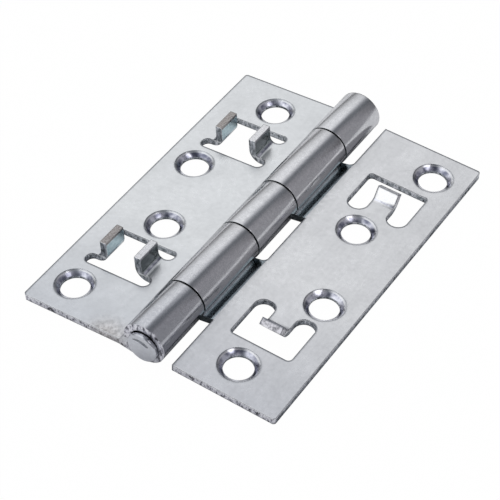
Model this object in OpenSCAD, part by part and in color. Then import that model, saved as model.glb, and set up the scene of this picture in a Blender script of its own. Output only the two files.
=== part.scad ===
// Interlocking butt hinge with two folded sheet leaves and one fixed pin.
// The hinge lies open on a flat surface, screw faces up: the barrel and both outer edges touch z = 0.
// The pin runs along Y above the origin. The tab leaf lies towards -X, the slot leaf towards +X.

/* [Leaves] */
// Length of the hinge along the pin
hinge_length = 101.6; // [98:0.1:120]
// Reach of each leaf from the pin axis to its outer edge
leaf_reach = 37.8; // [36:0.1:50]
// Thickness of the sheet
sheet = 2.0; // [1.6:0.1:2.4]
// Height of the pin axis above the screw face of each leaf
axis_height = 2.4; // [2.0:0.1:2.8]
// Corner radius of each leaf's outline
leaf_corner_r = 0.8; // [0.3:0.1:2]

/* [Barrel] */
// Diameter of the pin
pin_d = 7.9; // [7:0.1:8.4]
// Radial clearance between the pin and the knuckles
pin_clearance = 0.05; // [0.02:0.01:0.1]
// Length of each of the two end knuckles
end_knuckle = 17.1; // [14:0.1:20]
// Length of the middle knuckle
middle_knuckle = 17.7; // [14:0.1:20]
// Gap between neighbouring knuckles
knuckle_gap = 0.5; // [0.2:0.05:1]
// Distance from the pin axis to the notch edges and to the crease that leads down to the barrel
notch_reach = 8.2; // [7.8:0.1:9.5]
// Inside radius of the crease
crease_r = 1.0; // [0.5:0.1:2]
// Angle below the horizontal at which each rolled end stops
roll_stop = 8; // [0:1:20]
// Radius of the notch corners that are rounded
notch_corner_r = 1.3; // [0.4:0.1:1.6]

/* [Pin ends] */
// Diameter of the peened heads
head_d = 8.9; // [8.5:0.1:10]
// Height of the peened heads
head_height = 0.55; // [0.3:0.05:1]
// Play between each head and its end knuckle
head_play = 0.05; // [0.02:0.01:0.2]
// Radius of the curved stake mark in the near head
stake_arc_r = 5.6; // [4:0.1:8]
// Width of the stake mark
stake_width = 0.9; // [0.4:0.1:1.2]
// Length of the stake mark, as an angle on its curve
stake_angle = 40; // [20:1:50]

/* [Screw holes] */
// Diameter of the screw holes
screw_d = 7.8; // [5:0.1:8]
// Diameter of the countersinks
countersink_d = 10.8; // [9:0.1:11.5]
// Full angle of the countersinks
countersink_angle = 100; // [90:1:110]
// Distance of the tab leaf's inner holes from the pin axis
tab_leaf_inner_row = 21.9; // [21:0.1:23]
// Distance of the tab leaf's outer holes from the pin axis
tab_leaf_outer_row = 28.8; // [28:0.1:30]
// Distance of the tab leaf's end holes from mid-length
tab_leaf_end_hole = 41.3; // [41:0.1:43]
// Distance of the tab leaf's middle holes from mid-length
tab_leaf_middle_hole = 11.8; // [8:0.1:12.4]
// Distance of the slot leaf's inner holes from the pin axis
slot_leaf_inner_row = 21.4; // [20:0.1:23]
// Distance of the slot leaf's outer holes from the pin axis
slot_leaf_outer_row = 28.4; // [27:0.1:30]
// Distance of the slot leaf's end holes from mid-length
slot_leaf_end_hole = 41.5; // [41:0.1:43]
// Distance of the slot leaf's middle holes from mid-length
slot_leaf_middle_hole = 13.4; // [8:0.1:13.6]

/* [Upright tabs] */
// Distance from the pin axis to the inner tabs' face on the barrel side
inner_tab_face = 16.0; // [15.5:0.1:16.5]
// Distance from the pin axis to the outer tabs' face on the outer side
outer_tab_face = 28.8; // [28.3:0.1:29.5]
// Width of the upright tabs along the pin
tab_width = 7.4; // [5:0.1:8]
// Rise of the upright tabs above the screw face
tab_rise = 5.2; // [4:0.1:6]
// Inside bend radius of all tabs
tab_bend_r = 1.6; // [1:0.1:2]
// Distance of the window centres from mid-length
window_centre = 26.2; // [25.8:0.1:26.8]
// Length of the windows along the pin
window_length = 14.6; // [13:0.1:15]
// Reach of the relief slots past the bend lines
relief_reach = 1.95; // [1.8:0.05:2.5]

/* [Slots and angled tabs] */
// Clearance of a slot behind the upright tab that enters it, next to the bend
slot_back_clearance = 2.4; // [2:0.1:3]
// Clearance of a slot on the other face of the upright tab
slot_front_clearance = 1.3; // [0.8:0.1:1.8]
// Clearance of a slot past the tab, towards mid-length
slot_root_clearance = 2.6; // [2.2:0.1:3]
// Clearance of a slot past the tab, towards the end of the hinge
slot_end_clearance = 4.0; // [3:0.1:4.5]
// Length of the flat root of each angled tab, from the slot ends to the bend
catch_root = 4.8; // [4:0.1:5.5]
// Angle of the angled tabs to the screw face
catch_angle = 55; // [40:1:70]
// Straight length of the angled tabs past the bend
catch_run = 3.1; // [2:0.1:4.2]
// Corner radius of the slot windows
slot_corner_r = 1.2; // [0.4:0.1:2.4]

/* [Hidden] */
$fn = 96;
overlap = 0.4;
past = 1;

// A straight run of bent sheet reaches into its bend by the seam and sits inside the bend's skin by the tuck
seam = 0.15;
tuck = 0.005;
pin_r = pin_d / 2;
bore_r = pin_r + pin_clearance;
knuckle_r = bore_r + sheet;
half_length = hinge_length / 2;

// Levels in a leaf's own frame, whose origin is on the pin axis
screw_face = -axis_height;
back_face = screw_face - sheet;

// The leaves droop until their outer back edges lie level with the bottom of the barrel
droop = asin(knuckle_r / norm([leaf_reach, back_face])) - atan2(-back_face, leaf_reach);

// The crease lets the sheet run down to the barrel along the common tangent of crease and barrel
crease_centre = [notch_reach, back_face - crease_r];
crank_angle = asin((knuckle_r + crease_r) / norm(crease_centre)) - atan2(-crease_centre[1], notch_reach);

// Knuckle spans along the pin, from the near end to the far end
joint_a = half_length - end_knuckle;
joint_b = middle_knuckle / 2;
tab_leaf_knuckles = [[-half_length, -joint_a], [-joint_b, joint_b], [joint_a, half_length]];
slot_leaf_knuckles = [[-joint_a + knuckle_gap, -joint_b - knuckle_gap], [joint_b + knuckle_gap, joint_a - knuckle_gap]];

// Upright tabs, their bend lines and the windows that they are cut from
inner_bend = inner_tab_face - tab_bend_r;
outer_bend = outer_tab_face + tab_bend_r;
relief_width = (window_length - tab_width) / 2;
relief_centre = (window_length - relief_width) / 2;
upright_run = tab_rise - tab_bend_r;

// Slots that the upright tabs enter when the hinge closes
slot_a = [inner_tab_face - slot_back_clearance, inner_tab_face + sheet + slot_front_clearance];
slot_b = [outer_tab_face - sheet - slot_front_clearance, outer_tab_face + slot_back_clearance];
slot_root = window_centre - tab_width / 2 - slot_root_clearance;
slot_end = window_centre + tab_width / 2 + slot_end_clearance;
catch_bend = slot_root + catch_root;

// Screw holes as [distance from the pin axis, place along the pin]
tab_leaf_holes = [
    [tab_leaf_outer_row, -tab_leaf_end_hole], [tab_leaf_inner_row, -tab_leaf_middle_hole],
    [tab_leaf_outer_row, tab_leaf_middle_hole], [tab_leaf_inner_row, tab_leaf_end_hole]
];
slot_leaf_holes = [
    [slot_leaf_inner_row, -slot_leaf_end_hole], [slot_leaf_outer_row, -slot_leaf_middle_hole],
    [slot_leaf_inner_row, slot_leaf_middle_hole], [slot_leaf_outer_row, slot_leaf_end_hole]
];

function on_circle(r, angle) = [r * cos(angle), r * sin(angle)];

// Pie slice from one angle to another, wide enough to cut a ring of radius r
module slice(r, from, to) {
    reach = 2 * r;
    polygon([[0, 0], on_circle(reach, from), on_circle(1.5 * reach, (from + to) / 2), on_circle(reach, to)]);
}

// Piece of a bent sheet seen from its edge, between two radii and two angles
module bend_section(inside_r, from, to) {
    intersection() {
        difference() {
            circle(inside_r + sheet);
            circle(inside_r);
        }
        slice(inside_r + sheet, from, to);
    }
}

// Turns a drawing of distance and height into a solid between two places along the pin
module along_pin(span) {
    translate([0, span[1], 0])
        rotate([90, 0, 0])
            linear_extrude(span[1] - span[0])
                children();
}

// Section of a knuckle: flat start, crease, straight crank and the roll round the pin
module knuckle_section() {
    crank_length = norm(crease_centre) * cos(crank_angle - atan2(crease_centre[1], crease_centre[0]));
    translate([notch_reach, back_face])
        square([overlap, sheet]);
    translate(crease_centre)
        bend_section(crease_r, 90, 90 + crank_angle);
    difference() {
        union() {
            difference() {
                circle(knuckle_r);
                slice(knuckle_r, crank_angle - 90, -roll_stop);
            }
            rotate(crank_angle)
                polygon([
                    [-seam, tuck - knuckle_r], [crank_length + seam, -tuck - knuckle_r],
                    [crank_length + seam, -tuck - bore_r], [-seam, tuck - bore_r]
                ]);
        }
        circle(bore_r);
        translate(crease_centre)
            circle(crease_r);
    }
}

module knuckle(span) {
    along_pin(span)
        knuckle_section();
}

// Rounds the corner where a notch edge meets the crank of the knuckle that ends at y
module notch_corner(y) {
    intersection() {
        along_pin([y - overlap, y + notch_corner_r])
            knuckle_section();
        translate([notch_reach - notch_corner_r, y - overlap, -knuckle_r])
            linear_extrude(2 * knuckle_r)
                difference() {
                    square([notch_corner_r + overlap, notch_corner_r + overlap]);
                    translate([0, notch_corner_r + overlap])
                        circle(notch_corner_r);
                }
    }
}

module rounded_rectangle(from, to, r) {
    size = to - from;
    translate(from + [r, 0])
        square([size[0] - 2 * r, size[1]]);
    translate(from + [0, r])
        square([size[0], size[1] - 2 * r]);
    for (x = [from[0] + r, to[0] - r], y = [from[1] + r, to[1] - r])
        translate([x, y])
            circle(r);
}

// Flat outline of a leaf, square along its notch edge and rounded at its outer corners
module leaf_outline() {
    translate([notch_reach, -half_length])
        square([leaf_corner_r * 2, hinge_length]);
    rounded_rectangle([notch_reach, -half_length], [leaf_reach, half_length], leaf_corner_r);
}

module screw_hole(place) {
    countersink_depth = (countersink_d - screw_d) / 2 / tan(countersink_angle / 2);
    translate([place[0], place[1], back_face - past])
        cylinder(h = sheet + 2 * past, d = screw_d);
    translate([place[0], place[1], screw_face - countersink_depth])
        cylinder(h = countersink_depth, d1 = screw_d, d2 = countersink_d);
    translate([place[0], place[1], screw_face])
        cylinder(h = past, d = countersink_d);
}

// Tab bent up out of the sheet: its bend line is on Y and it starts towards +X
module bent_tab(width, angle, run) {
    translate([0, width / 2, screw_face])
        rotate([90, 0, 0])
            linear_extrude(width) {
                translate([-overlap, -sheet])
                    square([overlap, sheet]);
                translate([0, tab_bend_r]) {
                    bend_section(tab_bend_r, -90, angle - 90);
                    difference() {
                        rotate(angle)
                            translate([-seam, tuck - tab_bend_r - sheet])
                                square([run + seam, sheet]);
                        circle(tab_bend_r);
                    }
                }
            }
}

// Window left by a pair of upright tabs, with a round relief slot on each side of each bend line
module tab_window() {
    translate([inner_bend, -window_length / 2])
        square([outer_bend - inner_bend, window_length]);
    for (side = [-1, 1]) {
        translate([inner_bend, side * relief_centre - relief_width / 2])
            square([outer_bend - inner_bend, relief_width]);
        relief_slot(inner_bend, -relief_reach, side);
        relief_slot(outer_bend, relief_reach, side);
    }
}

module relief_slot(bend, reach, side) {
    round_end = bend + reach - sign(reach) * relief_width / 2;
    translate([min(bend, round_end), side * relief_centre - relief_width / 2])
        square([abs(round_end - bend), relief_width]);
    translate([round_end, side * relief_centre])
        circle(d = relief_width);
}

// Window with two round-ended slots beside the flat root of the angled tab
module slot_window() {
    for (slot = [slot_a, slot_b]) {
        slot_r = (slot[1] - slot[0]) / 2;
        translate([slot[0], slot_root + slot_r])
            square([slot[1] - slot[0], catch_bend - slot_root]);
        translate([slot[0] + slot_r, slot_root + slot_r])
            circle(slot_r);
    }
    rounded_rectangle([slot_a[0], catch_bend], [slot_b[1], slot_end], slot_corner_r);
    translate([slot_a[0], catch_bend])
        square([slot_b[1] - slot_a[0], slot_corner_r]);
}

module leaf_plate(holes) {
    difference() {
        translate([0, 0, back_face])
            linear_extrude(sheet)
                difference() {
                    leaf_outline();
                    children();
                }
        for (place = holes)
            screw_hole(place);
    }
}

// Leaf with three knuckles and two pairs of upright tabs
module tab_leaf() {
    color([0.78, 0.79, 0.81])
        translate([0, 0, knuckle_r])
            mirror([1, 0, 0])
                rotate([0, droop, 0]) {
                    leaf_plate(tab_leaf_holes)
                        for (side = [-1, 1])
                            translate([0, side * window_centre])
                                tab_window();
                    for (side = [-1, 1]) {
                        translate([inner_bend, side * window_centre, 0])
                            bent_tab(tab_width, 90, upright_run);
                        translate([outer_bend, side * window_centre, 0])
                            mirror([1, 0, 0])
                                bent_tab(tab_width, 90, upright_run);
                    }
                    for (span = tab_leaf_knuckles)
                        knuckle(span);
                }
}

// Leaf with two knuckles and, between round-ended slots, two angled tabs
module slot_leaf() {
    color([0.75, 0.76, 0.78])
        translate([0, 0, knuckle_r])
            rotate([0, droop, 0]) {
                leaf_plate(slot_leaf_holes) {
                    slot_window();
                    mirror([0, 1])
                        slot_window();
                }
                for (flip = [0, 1])
                    mirror([0, flip, 0])
                        translate([(slot_a[1] + slot_b[0]) / 2, catch_bend, 0])
                            rotate([0, 0, 90])
                                bent_tab(slot_b[0] - slot_a[1], catch_angle, catch_run);
                for (span = slot_leaf_knuckles) {
                    knuckle(span);
                    notch_corner(span[1]);
                }
            }
}

// Fixed pin with a low peened head at each end and a stake mark in the near one
module hinge_pin() {
    head_start = half_length + head_play;
    head_end = head_start + head_height;
    head_edge = head_height / 2;
    stake_centre = [-stake_arc_r * cos(45), -stake_arc_r * sin(45)];
    color([0.70, 0.72, 0.74])
        translate([0, 0, knuckle_r])
            difference() {
                rotate([90, 0, 0])
                    rotate_extrude()
                        polygon([
                            [0, -head_end], [head_d / 2 - head_edge, -head_end],
                            [head_d / 2, -head_end + head_edge], [head_d / 2, -head_start], [pin_r, -head_start],
                            [pin_r, head_start], [head_d / 2, head_start], [head_d / 2, head_end - head_edge],
                            [head_d / 2 - head_edge, head_end], [0, head_end]
                        ]);
                translate([stake_centre[0], -head_end, stake_centre[1]])
                    rotate([90, 0, 0])
                        rotate([0, 0, 45 - stake_angle / 2])
                            rotate_extrude(angle = stake_angle)
                                translate([stake_arc_r + stake_width, 0])
                                    circle(d = stake_width);
            }
}

tab_leaf();
slot_leaf();
hinge_pin();
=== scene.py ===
import math

import bmesh
import bpy
from mathutils import Matrix, Vector


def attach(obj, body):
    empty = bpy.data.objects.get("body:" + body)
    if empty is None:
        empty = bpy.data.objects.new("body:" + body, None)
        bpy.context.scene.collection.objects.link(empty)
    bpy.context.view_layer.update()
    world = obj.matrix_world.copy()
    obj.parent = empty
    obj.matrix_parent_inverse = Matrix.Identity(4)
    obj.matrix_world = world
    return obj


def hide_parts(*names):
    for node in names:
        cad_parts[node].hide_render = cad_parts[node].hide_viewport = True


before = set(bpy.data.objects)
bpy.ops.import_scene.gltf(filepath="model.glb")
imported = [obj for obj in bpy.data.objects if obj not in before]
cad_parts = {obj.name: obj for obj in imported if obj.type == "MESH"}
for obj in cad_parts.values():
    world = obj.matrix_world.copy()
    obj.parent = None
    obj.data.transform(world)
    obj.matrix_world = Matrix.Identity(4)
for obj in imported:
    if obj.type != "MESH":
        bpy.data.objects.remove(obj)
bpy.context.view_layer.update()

# Sizes of the hinge, in metres, as in its record
AXIS_HEIGHT = 0.006
DROOP = math.radians(2.432)
SCREW_FACE = -0.0024
PIN_R = 0.00395
NECK_R = 0.0033
NECK_DROP = 0.0005
NECK_START = 0.0499
HEAD_START = 0.05085
HEAD_FACE = -0.05205
HEAD_R = 0.0043
HEAD_EDGE = 0.00048
HEAD_DROP = 0.0007
STAKE_CENTRE = (-0.0009, -0.0026)
STAKE_REACH = 0.0049
STAKE_WIDTH = 0.0012

# Direction of a small bright strip over the right side
STRIP = (0.62, -0.14, 0.77)

# Middle of the grime on the near edge of the tab leaf
SMUDGE = (-0.0115, -0.052, 0.0035)

# Share of the floor that shines white by itself where it is seen
FLOOR_WHITE = 0.99


# Node helpers
def link(tree, source, target):
    tree.links.new(source, target)


def math_node(tree, operation, a, b=None, clamp=False):
    made = tree.nodes.new("ShaderNodeMath")
    made.operation = operation
    made.use_clamp = clamp
    for socket, value in zip(made.inputs, (a, b)):
        if value is None:
            continue
        if isinstance(value, (int, float)):
            socket.default_value = value
        else:
            link(tree, value, socket)
    return made.outputs[0]


def ramp(tree, value, stops):
    """Maps a value through (position, grey or colour) stops."""
    made = tree.nodes.new("ShaderNodeValToRGB")
    elements = made.color_ramp.elements
    while len(elements) < len(stops):
        elements.new(0.5)
    for element, (position, colour) in zip(elements, stops):
        element.position = position
        if isinstance(colour, (int, float)):
            colour = (colour, colour, colour)
        element.color = (*colour, 1)
    link(tree, value, made.inputs[0])
    return made.outputs[0]


def mix_colour(tree, factor, a, b, blend="MIX"):
    made = tree.nodes.new("ShaderNodeMix")
    made.data_type = "RGBA"
    made.blend_type = blend
    for socket, value in ((made.inputs[0], factor), (made.inputs[6], a), (made.inputs[7], b)):
        if isinstance(value, (int, float)):
            socket.default_value = value
        elif isinstance(value, tuple):
            socket.default_value = (*value, 1)
        else:
            link(tree, value, socket)
    return made.outputs[2]


def noise(tree, coords, scale, detail=4.0, roughness=0.55, stretch=None, turn=0.0):
    """Noise in the part's own coordinates; scale is the number of features in a metre."""
    mapped = coords
    if stretch:
        mapping = tree.nodes.new("ShaderNodeMapping")
        mapping.inputs["Scale"].default_value = stretch
        mapping.inputs["Rotation"].default_value = (0, 0, turn)
        link(tree, coords, mapping.inputs["Vector"])
        mapped = mapping.outputs[0]
    made = tree.nodes.new("ShaderNodeTexNoise")
    made.inputs["Scale"].default_value = scale
    made.inputs["Detail"].default_value = detail
    made.inputs["Roughness"].default_value = roughness
    link(tree, mapped, made.inputs["Vector"])
    return made.outputs[0]


def distance_from_axis(tree, coords):
    """Distance of a point from the pin axis."""
    moved = tree.nodes.new("ShaderNodeVectorMath")
    moved.operation = "SUBTRACT"
    link(tree, coords, moved.inputs[0])
    moved.inputs[1].default_value = (0, 0, AXIS_HEIGHT)
    flat = tree.nodes.new("ShaderNodeVectorMath")
    flat.operation = "MULTIPLY"
    link(tree, moved.outputs[0], flat.inputs[0])
    flat.inputs[1].default_value = (1, 0, 1)
    length = tree.nodes.new("ShaderNodeVectorMath")
    length.operation = "LENGTH"
    link(tree, flat.outputs[0], length.inputs[0])
    return length.outputs["Value"]


def along(tree, vector, direction):
    """Part of a vector that lies along one direction."""
    made = tree.nodes.new("ShaderNodeVectorMath")
    made.operation = "DOT_PRODUCT"
    link(tree, vector, made.inputs[0])
    made.inputs[1].default_value = direction
    return made.outputs["Value"]


def step(tree, value, start, end):
    """0 before the start, 1 past the end, smooth between; the start may be the larger."""
    made = tree.nodes.new("ShaderNodeMapRange")
    made.interpolation_type = "SMOOTHSTEP"
    link(tree, value, made.inputs["Value"])
    made.inputs["From Min"].default_value = start
    made.inputs["From Max"].default_value = end
    return made.outputs["Result"]


def spot(tree, coords, place, reach, core):
    """1 near a place on the part, falling to 0 at its reach."""
    made = tree.nodes.new("ShaderNodeVectorMath")
    made.operation = "DISTANCE"
    link(tree, coords, made.inputs[0])
    made.inputs[1].default_value = place
    return step(tree, made.outputs["Value"], reach, core)


def plated(name, side, base, rough, streaks):
    """Zinc plated sheet: mottled satin faces, edges with painted highlight and, where they turn left or to the far end,
    painted shade, dark torn cut faces, painted shade in crevices.
    """
    material = bpy.data.materials.new(name)
    material.use_nodes = True
    tree = material.node_tree
    tree.nodes.clear()
    out = tree.nodes.new("ShaderNodeOutputMaterial")
    shader = tree.nodes.new("ShaderNodeBsdfPrincipled")
    shader.inputs["Metallic"].default_value = 1.0
    link(tree, shader.outputs[0], out.inputs[0])
    texture = tree.nodes.new("ShaderNodeTexCoord")
    coords, normal = texture.outputs["Object"], texture.outputs["Normal"]

    # Where a point lies on the leaf, and which way it faces
    leaf_up = (side * math.sin(DROOP), 0, math.cos(DROOP))
    height = math_node(tree, "SUBTRACT", along(tree, coords, leaf_up), AXIS_HEIGHT * math.cos(DROOP))
    radius = distance_from_axis(tree, coords)
    facing_up = math_node(tree, "ABSOLUTE", along(tree, normal, leaf_up))
    facing_end = math_node(tree, "ABSOLUTE", along(tree, normal, (0, 1, 0)))
    is_leaf = 1.0 if side else 0.0
    end_cut = math_node(tree, "MULTIPLY", math_node(tree, "MULTIPLY", step(tree, facing_end, 0.6, 0.8), is_leaf),
                        step(tree, facing_up, 0.50, 0.42))
    side_cut = math_node(tree, "MULTIPLY", step(tree, facing_up, 0.55, 0.4),
                         math_node(tree, "MULTIPLY", step(tree, height, SCREW_FACE, SCREW_FACE - 0.0001),
                                   step(tree, radius, 0.0083, 0.0086)))
    cut = math_node(tree, "MAXIMUM", end_cut, side_cut)
    place = math_node(tree, "ABSOLUTE", along(tree, coords, (0, 1, 0)))
    in_joint = math_node(tree, "MULTIPLY", math_node(tree, "MULTIPLY", end_cut, step(tree, radius, 0.0098, 0.0092)),
                         step(tree, place, 0.0505, 0.0500))
    barrel = step(tree, radius, 0.0064, 0.0062)
    cone = math_node(tree, "MULTIPLY", step(tree, radius, 0.0086, 0.0090),
                     math_node(tree, "MULTIPLY", step(tree, facing_up, 0.95, 0.88), step(tree, facing_up, 0.55, 0.65)))
    crank = math_node(tree, "MULTIPLY", math_node(tree, "MULTIPLY", step(tree, radius, 0.0061, 0.0063), step(tree, radius, 0.0087, 0.0083)),
                      step(tree, along(tree, normal, leaf_up), -0.1, 0.1))
    facing_side = math_node(tree, "ABSOLUTE", along(tree, normal, (1, 0, 0)))
    raised = math_node(tree, "MULTIPLY", step(tree, radius, 0.0086, 0.0090), step(tree, height, SCREW_FACE + 0.0002, SCREW_FACE + 0.0008))
    upright = math_node(tree, "MULTIPLY", math_node(tree, "MULTIPLY", step(tree, facing_side, 0.45, 0.65), 1.0 if side < 0 else 0.0),
                        math_node(tree, "MULTIPLY", step(tree, radius, 0.0086, 0.0090),
                                  step(tree, height, SCREW_FACE + 0.0002, SCREW_FACE + 0.0008)))

    # Satin mottling at three scales
    cloud = noise(tree, coords, 110.0, 4.0, 0.6)
    grain = noise(tree, coords, 900.0, 5.0, 0.7)
    fine = noise(tree, coords, 3200.0, 2.0, 0.6)
    streak = noise(tree, coords, 260.0, 4.0, 0.6, streaks, 0.5)
    tint = ramp(tree, cloud, [(0.35, tuple(c * 0.90 for c in base)), (0.65, base)])
    tint = mix_colour(tree, 0.4, tint, ramp(tree, grain, [(0.3, tuple(c * 0.78 for c in base)), (0.7, base)]))
    tint = mix_colour(tree, 0.2, tint, ramp(tree, streak, [(0.35, tuple(c * 0.8 for c in base)), (0.62, base)]))
    turned = noise(tree, coords, 420.0, 2.0, 0.5)
    tint = mix_colour(tree, cone, tint, ramp(tree, turned, [(0.36, (0.20, 0.21, 0.28)), (0.48, (0.46, 0.47, 0.55)), (0.60, (0.84, 0.85, 0.93))]))
    # Painted shade: countersink walls that face left, on the right of each hole, are darkened and broken up by grain
    cone_left_facing_wall_shade = math_node(tree, "MULTIPLY", cone, step(tree, along(tree, normal, (1, 0, 0)), -0.25, -0.60))
    tint = mix_colour(tree, cone_left_facing_wall_shade, tint, ramp(tree, grain, [(0.38, (0.20, 0.20, 0.22)), (0.60, (0.72, 0.71, 0.74))]), "MULTIPLY")
    tint = mix_colour(tree, math_node(tree, "MULTIPLY", barrel, 0.6), tint, ramp(tree, fine, [(0.35, (0.56, 0.56, 0.58)), (0.62, (0.70, 0.70, 0.72))]))
    tint = mix_colour(tree, math_node(tree, "MULTIPLY", barrel, 0.5), tint, ramp(tree, grain, [(0.35, (0.84, 0.84, 0.85)), (0.60, (1.0, 1.0, 1.0))]), "MULTIPLY")
    teal = ramp(tree, grain, [(0.35, (0.66, 0.80, 0.83)), (0.62, (0.80, 0.90, 0.93))])
    tint = mix_colour(tree, crank, tint, teal if side > 0 else (0.68, 0.69, 0.70))
    outer = step(tree, radius, 0.021, 0.023)
    # Painted shade: the faces of the inner upright tabs are painted dark, while the outer tabs keep a lighter teal
    inner_tab_shade = ramp(tree, streak, [(0.35, (0.26, 0.29, 0.29)), (0.62, (0.46, 0.50, 0.50))])
    outside = ramp(tree, grain, [(0.35, (0.42, 0.56, 0.60)), (0.62, (0.62, 0.76, 0.80))])
    tint = mix_colour(tree, upright, tint, mix_colour(tree, outer, inner_tab_shade, outside))

    # Cut faces: torn, light with dark dashes; painted shade makes them black inside the joints
    tear = noise(tree, coords, 1100.0, 4.0, 0.7, (1, 1, 0.5))
    tip = math_node(tree, "MULTIPLY", math_node(tree, "MULTIPLY", step(tree, height, SCREW_FACE + 0.0044, SCREW_FACE + 0.0047),
                                                step(tree, radius, 0.0086, 0.0090)), 1.0 if side < 0 else 0.0)
    brown = ramp(tree, fine, [(0.36, (0.22, 0.20, 0.19)), (0.64, (0.40, 0.38, 0.37))])
    pale = ramp(tree, fine, [(0.36, (0.52, 0.52, 0.53)), (0.64, (0.78, 0.78, 0.80))])
    tint = mix_colour(tree, tip, tint, mix_colour(tree, outer, pale, brown))
    cut_tint = ramp(tree, tear, [(0.36, (0.09, 0.10, 0.11)), (0.50, (0.40, 0.43, 0.46)), (0.64, (0.78, 0.79, 0.83))])
    outer_end = step(tree, place, 0.0500, 0.0504)
    end_tint = ramp(tree, tear, [(0.40, (0.12, 0.12, 0.13)), (0.47, (0.62, 0.61, 0.66)), (0.56, (1.0, 0.99, 1.0))])
    tint = mix_colour(tree, cut, tint, mix_colour(tree, outer_end, cut_tint, end_tint))
    # Painted shade: every colour darkens toward the near end
    toward_near = ramp(tree, math_node(tree, "MULTIPLY", along(tree, coords, (0, 1, 0)), -20.0), [(0.25, (1.0, 1.0, 1.0)), (1.0, (0.80, 0.81, 0.84))])
    tint = mix_colour(tree, 1.0, tint, toward_near, "MULTIPLY")
    smudge = math_node(tree, "MULTIPLY", spot(tree, coords, SMUDGE, 0.0085, 0.001), 0.75 if side < 0 else 0.0)
    tint = mix_colour(tree, smudge, tint, ramp(tree, grain, [(0.38, (0.24, 0.22, 0.21)), (0.62, (0.66, 0.64, 0.63))]))
    # Painted shade: cut faces between the knuckles are tinted nearly black
    tint = mix_colour(tree, in_joint, tint, (0.16, 0.19, 0.20))

    # Angled tabs: a painted highlight makes the near face of the far one almost white, painted shade darkens the rest
    if side > 0:
        lifted = math_node(tree, "MULTIPLY", step(tree, height, SCREW_FACE + 0.0002, SCREW_FACE + 0.0006),
                           step(tree, radius, 0.0134, 0.0138))
        lit = math_node(tree, "MULTIPLY", step(tree, along(tree, coords, (0, 1, 0)), -0.001, 0.001),
                        step(tree, along(tree, normal, (0, 1, 0)), -0.3, -0.5))
        angled_tab_shade = ramp(tree, tear, [(0.38, (0.22, 0.22, 0.24)), (0.60, (0.72, 0.71, 0.75))])
        tint = mix_colour(tree, lifted, tint, mix_colour(tree, lit, angled_tab_shade, (1.0, 1.0, 1.0)))

    # Painted shade where the surface is shut in: ambient occlusion darkens the colour
    shut = tree.nodes.new("ShaderNodeAmbientOcclusion")
    shut.samples = 8
    shut.inputs["Distance"].default_value = 0.0015 if side else 0.0008
    deepest, clear = ((0.15, (0.30, 0.34, 0.36)), (0.65, (1.0, 1.0, 1.0))) if side else ((0.55, (0.03, 0.04, 0.05)), (0.9, (1.0, 1.0, 1.0)))
    crevice_shade = ramp(tree, shut.outputs["AO"], [deepest, clear])
    tint = mix_colour(tree, 1.0, tint, crevice_shade, "MULTIPLY")

    # Edges, where the rounded normal leaves the true one
    bevel = tree.nodes.new("ShaderNodeBevel")
    bevel.samples = 8
    bevel.inputs["Radius"].default_value = 0.00035
    geometry = tree.nodes.new("ShaderNodeNewGeometry")
    dot = tree.nodes.new("ShaderNodeVectorMath")
    dot.operation = "DOT_PRODUCT"
    link(tree, bevel.outputs[0], dot.inputs[0])
    link(tree, geometry.outputs["True Normal"], dot.inputs[1])
    edge = ramp(tree, dot.outputs["Value"], [(0.75, 1.0), (0.985, 0.0)])

    rough_value = ramp(tree, cloud, [(0.3, rough + 0.05), (0.7, rough - 0.03)])
    rough_value = mix_colour(tree, 0.4, rough_value, ramp(tree, grain, [(0.3, rough + 0.12), (0.7, rough - 0.05)]))
    shiny = ramp(tree, grain, [(0.3, 0.22), (0.7, 0.12)])
    rough_value = mix_colour(tree, math_node(tree, "MAXIMUM", math_node(tree, "MAXIMUM", barrel, raised), math_node(tree, "MAXIMUM", cone, crank)),
                             rough_value, shiny)
    rough_value = mix_colour(tree, cut, rough_value, ramp(tree, tear, [(0.4, 0.5), (0.6, 0.3)]))
    rough_value = mix_colour(tree, edge, rough_value, (0.22, 0.22, 0.22))
    # Rims turned to the left or the far end get painted shade, the others a painted highlight
    wide = tree.nodes.new("ShaderNodeBevel")
    wide.samples = 8
    wide.inputs["Radius"].default_value = 0.0009
    wide_normal = tree.nodes.new("ShaderNodeVectorTransform")
    wide_normal.vector_type = "NORMAL"
    wide_normal.convert_from, wide_normal.convert_to = "WORLD", "OBJECT"
    link(tree, wide.outputs[0], wide_normal.inputs[0])
    lean = tree.nodes.new("ShaderNodeVectorMath")
    lean.operation = "SUBTRACT"
    link(tree, wide_normal.outputs[0], lean.inputs[0])
    link(tree, normal, lean.inputs[1])
    turned_away = math_node(tree, "MAXIMUM", step(tree, along(tree, lean.outputs[0], (1, 0, 0)), -0.06, -0.20),
                            step(tree, along(tree, lean.outputs[0], (0, 1, 0)), 0.06, 0.20))
    turned_away = math_node(tree, "MULTIPLY", turned_away, is_leaf)
    if side < 0:
        turned_away = math_node(tree, "MULTIPLY", turned_away, step(tree, height, SCREW_FACE + 0.0012, SCREW_FACE + 0.0003))
    # Painted shade: rims turned to the left or the far end are tinted nearly black
    rim_shade = math_node(tree, "MULTIPLY", math_node(tree, "MULTIPLY", turned_away, step(tree, radius, 0.0082, 0.0084)), 0.85)
    tint = mix_colour(tree, rim_shade, tint, (0.13, 0.14, 0.16))
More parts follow.
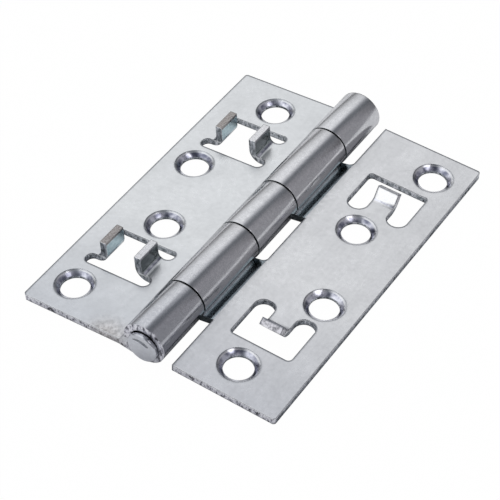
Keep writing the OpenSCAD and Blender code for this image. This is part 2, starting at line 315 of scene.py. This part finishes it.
    # Painted highlight: rims not turned away are brightened, to white on the raised tabs
    rim_highlight = mix_colour(tree, raised, tuple(min(1.0, c * 1.12) for c in base), (1.0, 1.0, 1.0))
    rim = mix_colour(tree, turned_away, rim_highlight, (0.16, 0.17, 0.19))
    rolled = math_node(tree, "MULTIPLY", step(tree, facing_up, 0.985, 0.90),
                       math_node(tree, "MULTIPLY", step(tree, height, SCREW_FACE - 0.00050, SCREW_FACE - 0.00035),
                                 step(tree, height, SCREW_FACE + 0.0002, SCREW_FACE + 0.0001)))
    rim_share = math_node(tree, "MULTIPLY", math_node(tree, "MAXIMUM", edge, rolled), step(tree, radius, 0.0082, 0.0084))
    link(tree, mix_colour(tree, math_node(tree, "MULTIPLY", rim_share, 0.8), tint, rim), shader.inputs["Base Color"])
    link(tree, rough_value, shader.inputs["Roughness"])

    bump = tree.nodes.new("ShaderNodeBump")
    bump.inputs["Strength"].default_value = 0.25
    bump.inputs["Distance"].default_value = 0.00006
    relief = math_node(tree, "ADD", math_node(tree, "MULTIPLY", grain, 1.0), math_node(tree, "MULTIPLY", fine, 0.5))
    relief = math_node(tree, "ADD", relief, math_node(tree, "MULTIPLY", math_node(tree, "MULTIPLY", tear, cut), 6.0))
    link(tree, relief, bump.inputs["Height"])
    link(tree, bevel.outputs[0], bump.inputs["Normal"])
    link(tree, bump.outputs[0], shader.inputs["Normal"])
    return material


def dress(name, material):
    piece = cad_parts[name]
    for slot in piece.material_slots:
        slot.material = material
    return piece


def soften(piece, width):
    """Rounds the edges a little, as shearing and plating leave them."""
    weld = piece.modifiers.new("weld", "WELD")
    weld.merge_threshold = 0.000002
    bevel = piece.modifiers.new("bevel", "BEVEL")
    bevel.width = width
    bevel.segments = 3
    bevel.limit_method = "ANGLE"
    bevel.angle_limit = math.radians(40)
    bevel.harden_normals = True


soften(dress("tab_leaf", plated("tab_leaf_zinc", -1, (0.755, 0.77, 0.78), 0.28, (1, 1, 1))), 0.00042)
soften(dress("slot_leaf", plated("slot_leaf_zinc", 1, (0.745, 0.75, 0.76), 0.28, (4, 0.5, 1))), 0.00042)


# Pin, necked and peened off centre at its near end
def rings_mesh(name, rings, sides=96):
    """Closed mesh through rings round the pin axis, each a place along Y, a radius and a drop."""
    vertices, faces = [], []
    for place, radius, drop in rings:
        for k in range(sides):
            angle = 2 * math.pi * k / sides
            vertices.append((radius * math.sin(angle), place, AXIS_HEIGHT - drop + radius * math.cos(angle)))
    for i in range(len(rings) - 1):
        for k in range(sides):
            a, b = i * sides + k, i * sides + (k + 1) % sides
            faces.append((a, b, b + sides, a + sides))
    faces.append(tuple(reversed(range(sides))))
    faces.append(tuple(range(len(vertices) - sides, len(vertices))))
    mesh = bpy.data.meshes.new(name)
    mesh.from_pydata([tuple(v) for v in vertices], [], faces)
    mesh.update()
    piece = bpy.data.objects.new(name, mesh)
    bpy.context.scene.collection.objects.link(piece)
    return piece


def rounded(place, outward, radius, drop, edge):
    """Rings of a head's rounded rim, from its side to its face."""
    return [(place - outward * edge * (1 - math.sin(a)), radius - edge * (1 - math.cos(a)), drop)
            for a in (math.radians(d) for d in range(0, 91, 15))]


def groove_mesh(name):
    """Curved tapered bead that strikes the stake mark into the near head."""
    count, sides = 24, 12
    vertices, faces = [], []
    for i in range(count + 1):
        share = i / count
        angle = math.radians(108 - 54 * share)
        thick = STAKE_WIDTH / 2 * (0.55 + 0.6 * share) * math.sqrt(max(0.02, math.sin(math.pi * (0.04 + 0.92 * share))))
        for k in range(sides):
            turn = 2 * math.pi * k / sides
            reach = STAKE_REACH + thick * math.cos(turn)
            vertices.append((STAKE_CENTRE[0] + reach * math.cos(angle), HEAD_FACE + 1.2 * thick * math.sin(turn),
                             AXIS_HEIGHT - HEAD_DROP + STAKE_CENTRE[1] + reach * math.sin(angle)))
    for i in range(count):
        for k in range(sides):
            a, b = i * sides + k, i * sides + (k + 1) % sides
            faces.append((a, b, b + sides, a + sides))
    faces.append(tuple(reversed(range(sides))))
    faces.append(tuple(range(count * sides, (count + 1) * sides)))
    mesh = bpy.data.meshes.new(name)
    mesh.from_pydata(vertices, [], faces)
    piece = bpy.data.objects.new(name, mesh)
    bpy.context.scene.collection.objects.link(piece)
    return piece


def face_outwards(mesh):
    work = bmesh.new()
    work.from_mesh(mesh)
    bmesh.ops.recalc_face_normals(work, faces=work.faces)
    work.to_mesh(mesh)
    work.free()


def shape_with(piece, cutter):
    """Cuts one mesh out of another for good and removes the cutter."""
    face_outwards(piece.data)
    face_outwards(cutter.data)
    cut = piece.modifiers.new("cut", "BOOLEAN")
    cut.operation = "DIFFERENCE"
    cut.solver = "EXACT"
    cut.object = cutter
    bpy.context.view_layer.update()
    baked = bpy.data.meshes.new_from_object(piece.evaluated_get(bpy.context.evaluated_depsgraph_get()))
    piece.modifiers.clear()
    piece.data = baked
    bpy.data.objects.remove(cutter)


def pin():
    rings = list(reversed(rounded(-HEAD_FACE, 1, HEAD_R, 0, HEAD_EDGE)))
    rings += [(HEAD_START, HEAD_R, 0), (HEAD_START, PIN_R, 0), (-NECK_START, PIN_R, 0), (-NECK_START, NECK_R, NECK_DROP),
              (-HEAD_START, NECK_R, NECK_DROP), (-HEAD_START, HEAD_R, HEAD_DROP)]
    rings += rounded(HEAD_FACE, -1, HEAD_R, HEAD_DROP, HEAD_EDGE)
    piece = rings_mesh("hinge_pin_peened", rings)
    bpy.context.view_layer.update()
    shape_with(piece, groove_mesh("stake"))
    for polygon in piece.data.polygons:
        polygon.use_smooth = True
    smooth = piece.modifiers.new("bevel", "BEVEL")
    smooth.width = 0.00006
    smooth.segments = 2
    smooth.limit_method = "ANGLE"
    smooth.angle_limit = math.radians(35)
    smooth.harden_normals = True
    piece.data.materials.clear()
    piece.data.materials.append(plated("pin_zinc", 0, (0.95, 0.98, 1.0), 0.30, (1, 1, 1)))
    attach(piece, "tab_side")
    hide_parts("hinge_pin")


pin()


# Floor, lamps, world
def floor():
    mesh = bpy.data.meshes.new("floor")
    half = 3.0
    mesh.from_pydata([(-half, -half, 0), (half, -half, 0), (half, half, 0), (-half, half, 0)], [], [(0, 1, 2, 3)])
    piece = bpy.data.objects.new("floor", mesh)
    bpy.context.scene.collection.objects.link(piece)
    material = bpy.data.materials.new("floor_white")
    material.use_nodes = True
    tree = material.node_tree
    shader = tree.nodes["Principled BSDF"]
    shader.inputs["Base Color"].default_value = (0.9, 0.9, 0.9, 1)
    shader.inputs["Roughness"].default_value = 0.9
    shader.inputs["Specular IOR Level"].default_value = 0.0
    path = tree.nodes.new("ShaderNodeLightPath")
    seen = math_node(tree, "MAXIMUM", path.outputs["Is Camera Ray"], path.outputs["Is Transmission Ray"])
    white = tree.nodes.new("ShaderNodeEmission")
    white.inputs["Strength"].default_value = 1.0
    blend = tree.nodes.new("ShaderNodeMixShader")
    link(tree, math_node(tree, "MULTIPLY", seen, FLOOR_WHITE), blend.inputs[0])
    link(tree, shader.outputs[0], blend.inputs[1])
    link(tree, white.outputs[0], blend.inputs[2])
    link(tree, blend.outputs[0], tree.nodes["Material Output"].inputs[0])
    piece.data.materials.append(material)


def lamp(name, power, size, place, aim, colour=(1, 1, 1)):
    data = bpy.data.lights.new(name, "AREA")
    data.shape = "RECTANGLE"
    data.size, data.size_y = size
    data.energy = power
    data.color = colour
    piece = bpy.data.objects.new(name, data)
    piece.location = place
    piece.rotation_mode = "QUATERNION"
    piece.rotation_quaternion = (Vector(aim) - Vector(place)).to_track_quat("-Z", "Y")
    piece.visible_glossy = False
    bpy.context.scene.collection.objects.link(piece)
    return piece


floor()
lamp("key", 6.0, (1.1, 0.9), (-0.55, 0.5, 1.25), (0, 0, 0))


def studio():
    """Surroundings that the metal reflects: bright to the left, dark to the right and low down behind."""
    world = bpy.data.worlds.new("studio")
    bpy.context.scene.world = world
    world.use_nodes = True
    tree = world.node_tree
    direction = tree.nodes.new("ShaderNodeTexCoord").outputs["Generated"]
    split = tree.nodes.new("ShaderNodeSeparateXYZ")
    link(tree, direction, split.inputs[0])
    across = math_node(tree, "MULTIPLY", math_node(tree, "ADD", split.outputs[0], 1.0), 0.5)
    level = ramp(tree, across, [
        (0.0, (1.05, 1.06, 1.08)), (0.36, (1.05, 1.06, 1.08)), (0.43, (0.76, 0.77, 0.80)), (0.49, (0.42, 0.43, 0.46)),
        (0.54, (0.22, 0.23, 0.25)), (0.60, (0.18, 0.19, 0.21)), (0.68, (0.27, 0.27, 0.29)), (0.76, (0.36, 0.355, 0.38)),
        (1.0, (0.36, 0.36, 0.38))
    ])
    low = ramp(tree, split.outputs[2], [(0.02, 0.12), (0.30, 0.66), (0.55, 0.92), (0.66, 1.0)])
    open_side = math_node(tree, "MAXIMUM", step(tree, split.outputs[0], 0.4, 0.6), step(tree, split.outputs[1], -0.4, -0.7))
    low = math_node(tree, "MAXIMUM", low, open_side)
    strip = step(tree, along(tree, direction, STRIP), 0.972, 0.985)
    level = mix_colour(tree, strip, level, (1.7, 1.68, 1.75))
    sky = tree.nodes["Background"]
    link(tree, mix_colour(tree, 1.0, level, low, "MULTIPLY"), sky.inputs["Color"])
    sky.inputs["Strength"].default_value = 1.0


studio()


# Camera at the photograph's viewing angle
def camera():
    azimuth, elevation, roll = (math.radians(a) for a in (34.12, 45.48, 0.93))
    focal, distance, shift_x, shift_y = 1800.5, 0.465, 0.00236, 0.00779
    back = Vector((math.sin(azimuth) * math.cos(elevation), -math.cos(azimuth) * math.cos(elevation), math.sin(elevation)))
    right = Vector((math.cos(azimuth), math.sin(azimuth), 0))
    up = back.cross(right)
    c, s = math.cos(roll), math.sin(roll)
    x_axis = right * c - up * s
    y_axis = right * s + up * c
    turned = Matrix((x_axis, y_axis, back))
    data = bpy.data.cameras.new("camera")
    data.sensor_width = 36.0
    data.lens = focal * 36.0 / 500.0
    data.clip_start, data.clip_end = 0.01, 20.0
    piece = bpy.data.objects.new("camera", data)
    bpy.context.scene.collection.objects.link(piece)
    piece.rotation_mode = "QUATERNION"
    piece.rotation_quaternion = turned.transposed().to_quaternion()
    piece.location = turned.transposed() @ Vector((-shift_x, -shift_y, distance)) + Vector((0, 0, AXIS_HEIGHT))
    bpy.context.scene.camera = piece


camera()
bpy.context.scene.view_settings.view_transform = "Standard"
